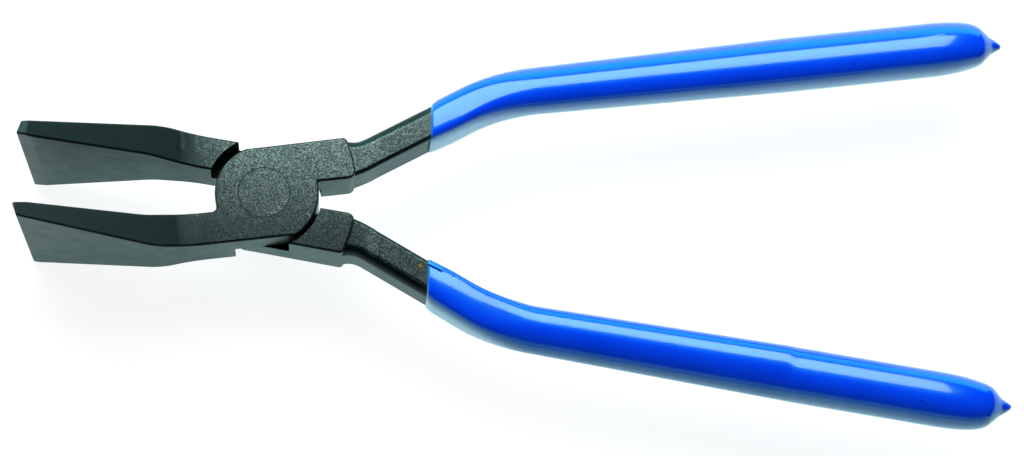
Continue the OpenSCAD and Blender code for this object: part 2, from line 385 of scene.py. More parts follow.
@dataclass
class MiddleLine:
    """The middle line of a shank and its handle, by the length s from the shoulder block.

    Attributes:
        root: Where the first bend starts, at the length 0.
        root_bend_s: Length at the end of the first bend.
        bend_s: Length at the start of the handle's bend.
        handle_s: Length at the start of the straight handle.
        handle_start: Where that is.
        dip_s: Length at the sleeve's edge.
        round_s: Length from which the steel turns round.
        steel_s: Length at the steel's end.
        dome_end_s: Length at the sleeve's end, without its drip.
    """

    block_reach: float = 26.1
    root_sink: float = 1.6
    root_shift: float = 0.3
    block_middle_y: float = 7.3
    shank_angle: float = math.radians(21.2)
    root_bend_r: float = 16.0
    handle_bend_r: float = 60.0
    handle_offset: float = 23.8
    steel_reach: float = 207.0
    bare_l: float = 19.6
    lip_l: float = 5.0
    cap_l: float = 6.0

    def __post_init__(self) -> None:
        """Works out the places and lengths along the line."""
        bends_r, turn = self.root_bend_r + self.handle_bend_r, self.shank_angle
        self.root = Vector((self.block_reach - self.root_sink,
                            self.block_middle_y + self.root_shift, 0))
        self.root_bend_s = self.root_bend_r * turn
        rise = bends_r * (1 - math.cos(turn))
        straight = (self.handle_offset - self.root.y - rise) / math.sin(turn)
        self.bend_s = self.root_bend_s + straight
        self.handle_s = self.bend_s + self.handle_bend_r * turn
        straight = away(turn) * (self.bend_s - self.root_bend_s)
        self.handle_start = self.root + bow(turn) * bends_r + straight
        self.dip_s = self.root_bend_s + self.bare_l
        self.round_s = self.dip_s + self.lip_l
        self.steel_s = self.handle_s + self.steel_reach - self.handle_start.x
        self.dome_end_s = self.steel_s + self.cap_l

    def at(self, s: float) -> tuple[Vector, float]:
        """Finds one place on the line.

        Args:
            s: Length along the line, in millimetres.

        Returns:
            The point and the line's heading there, in radians.
        """
        if s < 0:
            return self.root + Vector((s, 0, 0)), 0.0
        if s < self.root_bend_s:
            turn = s / self.root_bend_r
            return self.root + bow(turn) * self.root_bend_r, turn
        if s < self.bend_s:
            turn = self.shank_angle
            bent = self.root + bow(turn) * self.root_bend_r
            return bent + away(turn) * (s - self.root_bend_s), turn
        if s < self.handle_s:
            turn = (self.handle_s - s) / self.handle_bend_r
            return self.handle_start - bow(turn) * self.handle_bend_r, turn
        return self.handle_start + Vector((s - self.handle_s, 0, 0)), 0.0


LINE = MiddleLine()


def around(s: float, lean: float, spot: Callable[[float, float], Span]) -> list[Vector]:
    """Lays a ring of points round the middle line.

    Args:
        s: Length along the middle line.
        lean: Slope by which the points slide along the line as they lie further out.
        spot: Gives a point's way outwards and its height by the cosine and sine of its angle.

    Returns:
        The ring's points, from the outer side round over the top.
    """
    at, heading = LINE.at(s)
    along, across = away(heading), away(heading + math.pi / 2)
    points = []
    for i in range(SIDES):
        angle = (i + 0.5) * math.tau / SIDES
        side, up = spot(math.cos(angle), math.sin(angle))
        points.append(at + across * side + along * (side * lean) + Vector((0, 0, up)))
    return points


@dataclass(frozen=True)
class Section:
    """A rounded rectangle across the middle line, with its own edge radius on each side."""

    half_w: float
    half_t: float
    inner_r: float
    outer_r: float
    shift: float

    def spot(self, part: float, rise: float) -> Span:
        """Finds one point.

        Args:
            part: Cosine of its angle.
            rise: Sine of its angle.

        Returns:
            Its way outwards and its height.
        """
        edge_r = self.outer_r if part > 0 else self.inner_r
        side = edge_r * part + math.copysign(self.half_w - edge_r, part) + self.shift
        return side, edge_r * rise + math.copysign(self.half_t - edge_r, rise)


@dataclass(frozen=True)
class Shank:
    """The steel of one handle, from its shoulder block to its round end under the sleeve."""

    width: float = 8.8
    thickness: float = 15.0
    inner_r: float = 1.2
    outer_r: float = 3.0
    outer_flare: float = 1.2
    inner_flare: float = 0.9
    flare_l: float = 8.0
    core_d: float = 10.9
    core_full_d: float = 13.0
    swell_l: float = 72.0
    end_d: float = 8.0
    end_l: float = 3.0
    dip_lean: float = math.tan(math.radians(29))
    inside: float = 2.0
    bare_steps: int = 16
    lip_steps: int = 4
    bend_steps: int = 24
    swell_steps: int = 8
    end_shares: tuple[float, ...] = (0, 0.3, 0.55, 0.75, 0.9, 1)

    def flared(self, s: float) -> float:
        """How much of the root's flare is left at the length s."""
        return max(0.0, 1 - max(0.0, s) / self.flare_l) ** 2

    def rounded(self, s: float) -> float:
        """How far the steel has turned round at the length s, from 0 to 1."""
        share = clamped((s - LINE.round_s) / (LINE.handle_s - LINE.round_s))
        return share * share * (3 - 2 * share)

    def section(self, s: float) -> Section:
        """Finds the steel's section.

        Args:
            s: Length along the middle line.

        Returns:
            The section, in millimetres.
        """
        share, flared = self.rounded(s), self.flared(s)
        swollen = mix(self.core_d, self.core_full_d, clamped((s - LINE.handle_s) / self.swell_l))
        end = max(0.0, (s - LINE.steel_s + self.end_l) / self.end_l)
        radius = mix(swollen / 2, self.end_d / 2, end * end)
        flare = flared * (self.outer_flare + self.inner_flare) / 2
        return Section(mix(self.width / 2, radius, share) + flare,
                       mix(self.thickness / 2, radius, share),
                       mix(self.inner_r, radius, share), mix(self.outer_r, radius, share),
                       flared * (self.outer_flare - self.inner_flare) / 2)

    def lean(self, s: float) -> float:
        """Slope of the rings at the length s, which fades from the sleeve's edge on."""
        return self.dip_lean * clamped((LINE.round_s - s) / LINE.lip_l)

    def dip_edge(self) -> tuple[Vector, float]:
        """Finds the sleeve's edge in the plan of the CAD frame, folded onto the side of +Y.

        Returns:
            The direction square to the edge, towards the handle, and its distance in metres.
        """
        at, heading = LINE.at(LINE.dip_s)
        turn = heading + OPENING / 2
        square = (away(turn) - away(turn + math.pi / 2) * self.dip_lean).normalized()
        return square, square.dot(Matrix.Rotation(OPENING / 2, 3, "Z") @ at) * MM

    def ring(self, s: float, leaning: bool = False) -> list[Vector]:
        """The steel's ring at the length s."""
        return around(s, self.lean(s) if leaning else 0.0, self.section(s).spot)

    def bare_stations(self) -> list[float]:
        """Lengths of the rings on the bare steel."""
        return [-self.inside, 0.0] + spaced(0.0, LINE.dip_s - LINE.lip_l, self.bare_steps)

    def sleeved_stations(self) -> list[float]:
        """Finds the lengths of the rings under the sleeve.

        Returns:
            The lengths, from its leaning edge on.
        """
        lip = [LINE.dip_s] + spaced(LINE.dip_s, LINE.round_s, self.lip_steps)
        bend = spaced(LINE.round_s, LINE.handle_s, self.bend_steps)
        swell = spaced(LINE.handle_s, LINE.handle_s + self.swell_l, self.swell_steps)
        end = [LINE.steel_s - self.end_l * (1 - t) for t in self.end_shares]
        return lip + bend + swell + end

    def rings(self) -> list[list[Vector]]:
        """All of the steel's rings, in order."""
        return [self.ring(s) for s in self.bare_stations()] + [
            self.ring(s, leaning=True) for s in self.sleeved_stations()]


SHANK = Shank()


@dataclass
class ForgedHalf:
    """One forged half: its flared jaw, lap plate, shoulder block and shank."""

    side: Side
    half_w: float = 13.1
    lap_clearance: float = 0.1
    throat_r: float = 13.6
    plate_r: float = 15.2
    pocket_r: float = 16.2
    throat_fillet_r: float = 1.5
    plate_corner_r: float = 3.0
    jaw_reach: float = 67.6
    jaw_w: float = 54.0
    land_y: float = -0.05
    land_l: float = 4.0
    relief_y: float = -3.85
    relief_x: float = 33.0
    tip_t: float = 3.8
    tip_lean: float = 0.7
    root_x: float = 30.7
    root_r: float = 25.0
    flare_x: float = 21.5
    flare_r: float = 20.0
    tip_bevel: float = 0.8
    tip_flat_l: float = 2.6
    block_gap: float = 3.0
    block_lean: float = 1.7
    block_spread: float = 0.3
    block_inner_r: float = 2.2
    block_outer_r: float = 1.2
    block_crown: float = 0.3
    block_crown_r: float = 6.0
    edge_r: float = 0.65
    tip_edge_r: float = 0.25
    tip_zone_l: float = 1.0
    tip_merge: float = 0.2
    spare: float = 2.0
    profile_w: float = 52.4
    arc_step: float = 3.0
    fillet_step: float = 12.0
    pocket_steps: int = 128
    level_edge: float = math.radians(0.3)
    sharp_edge: float = math.radians(35)
    edge_steps: int = 3
    crosswise: float = 0.5
    near_wall: float = 0.1
    near_face: float = 0.01

    def plan(self) -> BMesh:
        """Draws the half's outline in the plan.

        Returns:
            A prism of it.
        """
        pen = Pen((-self.jaw_reach, self.land_y))
        pen.line(-self.jaw_reach + self.land_l, self.land_y)
        pen.line(-self.relief_x, self.relief_y, self.root_r)
        fillet_y = self.relief_y + self.throat_fillet_r
        fillet_x = -math.sqrt((self.throat_r + self.throat_fillet_r) ** 2 - fillet_y ** 2)
        pen.line(fillet_x, self.relief_y)
        toward = math.degrees(math.atan2(-fillet_y, -fillet_x))
        pen.swing((fillet_x, fillet_y), 90 + toward, self.fillet_step)
        start = math.degrees(math.atan2(fillet_y, fillet_x)) % 360
        throat_end = 180 - math.degrees(math.asin(self.half_w / self.throat_r))
        pen.swing((0, 0), throat_end - start, self.arc_step)
        pen.line(0, self.half_w)
        reach = LINE.block_reach
        pen.line(reach - self.block_lean, self.half_w + self.block_spread, self.block_outer_r)
        pen.line(reach - self.block_lean / 2 + self.block_crown, LINE.block_middle_y,
                 self.block_crown_r)
        pen.line(reach, self.block_gap / 2, self.block_inner_r)
        inner = math.asin(self.block_gap / 2 / self.plate_r)
        outer = -math.asin(self.half_w / self.plate_r)
        pen.line(self.plate_r * math.cos(inner), self.block_gap / 2)
        pen.swing((0, 0), math.degrees(outer - inner), self.arc_step)
        pen.rounds.append((pen.at, self.plate_corner_r))
        pen.line(-self.root_x, -self.half_w, self.root_r)
        pen.line(-self.jaw_reach + self.tip_lean, self.land_y - self.tip_t)
        return pen.prism(self.jaw_w + self.spare)

    def profile(self) -> BMesh:
        """Draws the half's side view, where the jaw flares from the head to its tip.

        Returns:
            A prism of it.
        """
        half_t, half_jaw = HEAD_T / 2, self.jaw_w / 2
        past = LINE.block_reach + self.spare
        slope = (half_jaw - half_t) / (self.jaw_reach - self.flare_x)
        bevel_z = half_jaw - self.tip_bevel * slope
        flat_z = half_jaw - self.tip_flat_l * slope
        pen = Pen((past, -half_t))
        pen.line(past, half_t)
        pen.line(-self.flare_x, half_t, self.flare_r)
        pen.line(-self.jaw_reach + self.tip_bevel, bevel_z)
        pen.line(-self.jaw_reach, bevel_z - self.tip_bevel)
        pen.line(-self.jaw_reach, -flat_z)
        pen.line(-self.jaw_reach + self.tip_flat_l, -flat_z)
        pen.line(-self.flare_x, -half_t, self.flare_r)
        bm = pen.prism(self.profile_w)
        bmesh.ops.rotate(bm, verts=bm.verts, matrix=Matrix.Rotation(math.pi / 2, 3, "X"))
        return bm

    def softened(self, bm: BMesh) -> BMesh:
        """Rounds the sharp outer edges, as the blasting leaves them.

        Args:
            bm: The half's outer shape, which is freed.

        Returns:
            The same shape with round edges.
        """
        bmesh.ops.dissolve_limit(bm, angle_limit=self.level_edge, use_dissolve_boundaries=False,
                                 verts=bm.verts, edges=bm.edges, delimit=set())
        tip = [vert for vert in bm.verts if vert.co.x < self.tip_zone_l - self.jaw_reach]
        bmesh.ops.remove_doubles(bm, verts=tip, dist=self.tip_merge)
        weight = bm.edges.layers.float.new("bevel_weight_edge")
        for edge in bm.edges:
            if edge.calc_face_angle(0) > self.sharp_edge:
                middle = (edge.verts[0].co + edge.verts[1].co) / 2
                at_tip = middle.x < self.tip_zone_l - self.jaw_reach
                across = abs((edge.verts[0].co - edge.verts[1].co).normalized().y)
                if not at_tip:
                    edge[weight] = 1.0
                elif across < self.crosswise:
                    edge[weight] = self.tip_edge_r / self.edge_r
        made = meshed("outer", bm)
        bevel = made.modifiers.new("edges", "BEVEL")
        bevel.limit_method = "WEIGHT"
        bevel.width = self.edge_r
        bevel.segments = self.edge_steps
        bevel.use_clamp_overlap = False
        return applied(made)

    def pocket(self) -> BMesh:
        """Makes the round pocket that the other half's plate turns in.

        Returns:
            Its shape.
        """
        bm = bmesh.new()
        bmesh.ops.create_cone(bm, cap_ends=True, segments=self.pocket_steps, radius1=self.pocket_r,
                              radius2=self.pocket_r, depth=HEAD_T)
        bmesh.ops.translate(bm, verts=bm.verts, vec=(0, 0, (self.lap_clearance - HEAD_T) / 2))
        return bm

    def build(self, material: Material, cutter: BMesh) -> Object:
        """Models the half and puts it in place.

        Args:
            material: The steel's finish.
            cutter: Shape of the rivet's hole.

        Returns:
            The finished piece.
        """
        body = joined(self.plan(), self.profile(), Way.COMMON)
        body = joined(self.softened(body), self.pocket(), Way.CUT)
        body = joined(body, cutter, Way.CUT)
        body = joined(body, ringed(SHANK.rings()), Way.ADDED)
        # Marks the pocket's wall and the lapped face, which the steel's finish paints near black
        # as painted shade
        hidden = body.faces.layers.float.new("painted_shade")
        for face in body.faces:
            at = face.calc_center_median()
            wall = max(abs(math.hypot(at.x, at.y) - self.pocket_r), abs(face.normal.z))
            face[hidden] = float(wall < self.near_wall
                                 or abs(at.z - self.lap_clearance / 2) < self.near_face)
        node = "front_half" if self.side is Side.FRONT else "rear_half"
        return finished(node + "_forging", body, self.side, material, node)


@dataclass
class Rivet:
    """The rivet with its two countersunk heads, dressed flush with the plates."""

    diameter: float = 9.0
    head_d: float = 14.5
    head_t: float = 2.8
    clearance: float = 0.05
    seam: float = 0.18
    steps: int = 96
    past: float = 1.0

    def spun(self, outline: Sequence[Span]) -> BMesh:
        """Spins the upper half of an outline and its mirror image round the joint's axis.

        Args:
            outline: Radius and height of each corner, from the top down.

        Returns:
            The closed shape, centred on the joint plane.
        """
        bm = bmesh.new()
        verts = [bm.verts.new((x, 0, z)) for x, z in outline]
        edges = [bm.edges.new(pair) for pair in zip(verts, verts[1:])]
        bmesh.ops.mirror(bm, geom=verts + edges, axis="Z", merge_dist=0)
        bm.edges.new([min((v for v in bm.verts if v.co.z * up > 0), key=lambda v: v.co.z * up)
                      for up in (1, -1)])
        bmesh.ops.spin(bm, geom=bm.verts[:] + bm.edges[:], cent=(0, 0, 0), axis=(0, 0, 1),
                       dvec=(0, 0, 0), angle=math.tau, steps=self.steps, use_merge=True,
                       use_duplicate=False)
        bmesh.ops.remove_doubles(bm, verts=bm.verts, dist=MERGE)
        bmesh.ops.recalc_face_normals(bm, faces=bm.faces)
        return bm

    def hole(self, gap: float) -> BMesh:
        """Makes the hole for the rivet, which runs past both plates.

        Args:
            gap: How much wider it is than the rivet, all round.

        Returns:
            Its shape.
        """
        half_t, head_r = HEAD_T / 2, self.head_d / 2 + gap
        above = half_t + self.past
        return self.spun([(0, above), (head_r, above), (head_r, half_t),
                          (self.diameter / 2 + gap, half_t - self.head_t)])

    def build(self, material: Material) -> Object:
        """Models the rivet in the front half.

        Args:
            material: Its finish.

        Returns:
            The finished piece.
        """
        half_t, head_r = HEAD_T / 2, self.head_d / 2
        bm = self.spun([(0, half_t), (head_r - self.seam, half_t), (head_r, half_t - self.seam),
                        (self.diameter / 2, half_t - self.head_t)])
        return finished("rivet_dressed", bm, Side.FRONT, material, "rivet")


@dataclass
class DippedSleeve:
    """One dipped sleeve, from its leaning edge to the drip at its end."""

    side: Side
    wall: float = 1.17
    lip_t: float = 0.4
    rise_l: float = 0.7
    outer_start: float = 4.0
    inner_start: float = 10.0
    front_inner_start: float = 3.4
    outer_power: float = 2.0
    inner_power: float = 2.6
    front_apex: float = 1.8
    rear_apex: float = 0.2
    apex: float = 0.5
    front_drift: float = 0.5
    rear_drift: float = 1.2
    notch_x: float = 151.0
    notch_l: float = 1.5
    notch_shift: float = -1.1
    dome_l: float = 18.0
    drip_l: float = 2.6
    tip_r: float = 0.95
    end_outline: tuple[Span, ...] = (
        (0.0, 0.0), (0.42, 0.79), (0.87, 1.16), (2.04, 1.9), (3.2, 2.7), (4.8, 4.3), (6.4, 5.65),
        (8.0, 6.3), (10.3, 6.83), (14.0, 7.34), (18.0, 7.6), (20.6, 7.67))
    sag: float = 0.8
    sag_l: float = 9.0
    outer_crown: float = 0.3
    lip_shares: tuple[float, ...] = (0, 0.01, 0.03, 0.06, 0.1, 0.15, 0.22, 0.3, 0.42, 0.56, 0.7,
                                     0.85, 1)
    handle_steps: int = 60
    dome_steps: int = 24
    dome_gather: float = 0.9
    drip_steps: int = 14

    def coat(self, s: float, length: float) -> float:
        """Wall of the sleeve at the length s, where it grows over a length from its edge."""
        return mix(self.lip_t, self.wall, math.sqrt(clamped((s - LINE.dip_s) / length)))

    def dome(self, s: float) -> float:
        """Finds how full the sleeve is, with its drip.

        Args:
            s: Length along the middle line.

        Returns:
            Its share of the handle's full size.
        """
        left = LINE.dome_end_s + self.drip_l - s
        full = self.end_outline[-1][1]
        if left < self.end_outline[1][0]:
            return math.sqrt(self.tip_r ** 2 - (self.tip_r - left) ** 2) / full
        return followed(self.end_outline, left) / full

    def power(self, s: float, first: float, last: float) -> float:
        """How square one side of the sleeve is: 2 is round and more is squarer."""
        return mix(2.0, mix(first, last, SHANK.rounded(s)), self.dome(s))

    def crest(self, s: float) -> float:
        """Finds how far the ring's highest line lies towards the inner side.

        Args:
            s: Length along the middle line.

        Returns:
            The distance, in millimetres.
        """
        share = SHANK.rounded(s)
        front = self.side is Side.FRONT
        place = mix(self.front_apex if front else self.rear_apex, self.apex, share)
        drift = self.front_drift if front else self.rear_drift
        place -= 4 * drift * share * (1 - share)
        if self.side is Side.REAR:
            step = (LINE.at(s)[0].x - self.notch_x) / self.notch_l
            place += self.notch_shift * clamped(step)
        return place * self.dome(s)

    def ring(self, s: float) -> list[Vector]:
        """Lays one ring of the sleeve's outside.

        Args:
            s: Length along the middle line.

        Returns:
            The ring's points.
        """
        core = SHANK.section(min(s, LINE.steel_s - SHANK.end_l))
        half_w = (core.half_w + self.coat(s, LINE.lip_l)) * self.dome(s)
        half_t = (core.half_t + self.coat(s, self.rise_l)) * self.dome(s)
        first = self.front_inner_start if self.side is Side.FRONT else self.inner_start
        outer = self.power(s, self.outer_start, self.outer_power)
        inner = self.power(s, first, self.inner_power)
        crest = self.crest(s)
        crown = (self.coat(s, self.rise_l) - self.lip_t / 2) * (1 - SHANK.rounded(s))
        crown *= self.side is Side.REAR
        sagged = self.sag * max(0.0, (s - LINE.dome_end_s + self.sag_l) / self.sag_l) ** 2

        def spot(part: float, rise: float) -> Span:
            """Finds one point.

            Args:
                part: Cosine of its angle.
                rise: Sine of its angle.

            Returns:
                Its way outwards and its height.
            """
            power = outer if part > 0 else inner
            reach = (abs(part / half_w) ** power + abs(rise / half_t) ** power) ** (-1 / power)
            side, up = reach * part, reach * rise
            bare = (side / half_w) ** 2
            up *= 1 - (crown if part < 0 else crown * self.outer_crown) * bare / half_t
            return side - (crest * (1 - bare) + sagged), up

        return around(s, SHANK.lean(s), spot)

    def stations(self) -> list[float]:
        """Finds the lengths of the outside's rings.

        Returns:
            The lengths, from the edge to the drip.
        """
        lip = [LINE.dip_s + LINE.lip_l * t for t in self.lip_shares]
        bend = spaced(LINE.round_s, LINE.handle_s, SHANK.bend_steps)
        dome_s = LINE.dome_end_s - self.dome_l
        handle = spaced(LINE.handle_s, dome_s, self.handle_steps)
        dome = [dome_s + self.dome_l * math.sin(k / self.dome_steps * math.pi / 2)
                ** self.dome_gather for k in range(1, self.dome_steps)]
        drip = [LINE.dome_end_s + self.drip_l * math.sin(k / self.drip_steps * math.pi / 2)
                for k in range(self.drip_steps)]
        return lip + bend + handle + dome + drip

    def build(self, material: Material) -> Object:
        """Models the sleeve and puts it in place.

        Args:
            material: Its finish.

        Returns:
            The finished piece.
        """
        inside = [SHANK.ring(s, leaning=True) for s in reversed(SHANK.sleeved_stations())]
        bm = ringed(inside + [self.ring(s) for s in self.stations()])
        name = "front_grip" if self.side is Side.FRONT else "rear_grip"
        return finished(name + "_sleeve", bm, self.side, material, name,
                        crisp=False)


@dataclass(frozen=True)
class Mark:
    """A soft mark from a to b on the near side, in metres, with half of its width.

    Its share is how strong it is, or how high it stands.
    """

    a: Span
    b: Span
    half_w: float
    share: float = 1.0


@dataclass
class Wiring:
    """Wires the nodes of one material or of the world."""

    owner: Material | bpy.types.World

    def __post_init__(self) -> None:
        """Starts without nodes."""
        self.owner.use_nodes = True
        self.owner.node_tree.nodes.clear()

    @cached_property
    def place(self) -> Socket:
        """Where the material is looked at, in metres."""
        return self.add("TexCoord")["Object"]

    @cached_property
    def spot(self) -> Outputs:
        """The same place by X, Y and Z."""
        return self.add("SeparateXYZ", {0: self.place})

    def add(self, kind: str, inputs: dict | None = None, **settings: object) -> Outputs:
        """Adds one node.

        Args:
            kind: The node's type.
            inputs: Values or sockets for its inputs, by name or number.
            settings: Its own settings.

        Returns:
            Its outputs.
        """
        node = self.owner.node_tree.nodes.new("ShaderNode" + kind)
        for name, value in settings.items():
            setattr(node, name, value)
        for key, value in (inputs or {}).items():
            if isinstance(value, Socket):
                self.owner.node_tree.links.new(value, node.inputs[key])
            else:
                node.inputs[key].default_value = value
        return node.outputs

    def math(self, operation: str, *values: object, clamp: bool = False) -> Socket:
        """Result of one sum."""
        return self.add("Math", dict(enumerate(values)), operation=operation, use_clamp=clamp)[0]

    def times(self, *values: object) -> Socket:
        """Product of values."""
        return reduce(lambda a, b: self.math("MULTIPLY", a, b), values)

    def shifted(self, value: object, *parts: tuple[object, float]) -> Socket:
        """A value with each mask added by its own amount, which may be negative."""
        return reduce(lambda a, b: self.math("ADD", a, self.times(*b)), parts, value)

    def vector(self, operation: str, *values: object, **inputs: object) -> Outputs:
        """Result of one sum of vectors."""
        return self.add("VectorMath", {**dict(enumerate(values)), **inputs}, operation=operation)

    def noise(self, scale: float, detail: float = 2.0, roughness: float = 0.5) -> Socket:
        """Noise, with its scale per metre."""
        return self.add("TexNoise", {"Vector": self.place, "Scale": scale, "Detail": detail,
                                     "Roughness": roughness})["Fac"]

    def between(self, value: object, span: Span) -> Socket:
        """Smooth step of a value from the first end of a span to its second."""
        return self.add("MapRange", {"Value": value, "From Min": span[0], "From Max": span[1]},
                        interpolation_type="SMOOTHSTEP")["Result"]

    def coats(self, colour: object, *coats: tuple) -> Socket:
        """Lays colours over a first one.

        Args:
            colour: The first colour.
            coats: For each further colour: the colour, where it lies as a mask from 0 to 1, and
                how much of it shows where the mask is 1, if not all of it.

        Returns:
            The resulting colour.
        """
        for over, mask, *share in coats:
            a, b = (c if isinstance(c, Socket) else (*c, 1) for c in (colour, over))
            colour = self.add("Mix", {"Factor": self.times(mask, *share), 6: a, 7: b},
                              data_type="RGBA")[2]
        return colour

    def stroke(self, mark: Mark, soft: float = 0.2) -> Socket:
        """Makes a soft mark along a line on the near side, laid out in the plan.

        Args:
            mark: The mark.
            soft: Share of its width up to which it is full.

        Returns:
            The mark's share on the line, down to 0 at its edge.
        """
        a, b = Vector((*mark.a, 0)), Vector((*mark.b, 0))
        run = b - a
        start = self.vector("SUBTRACT", self.vector("MULTIPLY", self.place, IN_PLAN)[0], a)[0]
        part = self.vector("DOT_PRODUCT", start, run / run.length_squared)["Value"]
        part = self.math("MULTIPLY", part, 1.0, clamp=True)
        foot = self.vector("SCALE", run, Scale=part)[0]
        off = self.vector("DISTANCE", start, foot)["Value"]
        near = self.math("GREATER_THAN", self.spot["Z"], -HEAD_T / 2 * MM)
        full = self.between(off, (mark.half_w, mark.half_w * soft))
        return self.times(near, full, mark.share)

    def past_dip(self) -> Socket:
        """Measures the distance past the sleeves' edges.

        Returns:
            The distance towards the handles, in metres.
        """
        square, distance = SHANK.dip_edge()
        aside = self.math("ABSOLUTE", self.spot["Y"])
        along = self.shifted(self.times(self.spot["X"], square.x), (aside, square.y))
        return self.math("SUBTRACT", along, distance)

    def close(self, shader: Outputs, output: str = "OutputMaterial") -> Material:
        """Puts a shader on the output."""
        self.add(output, {"Surface": shader[0]})
        return self.owner


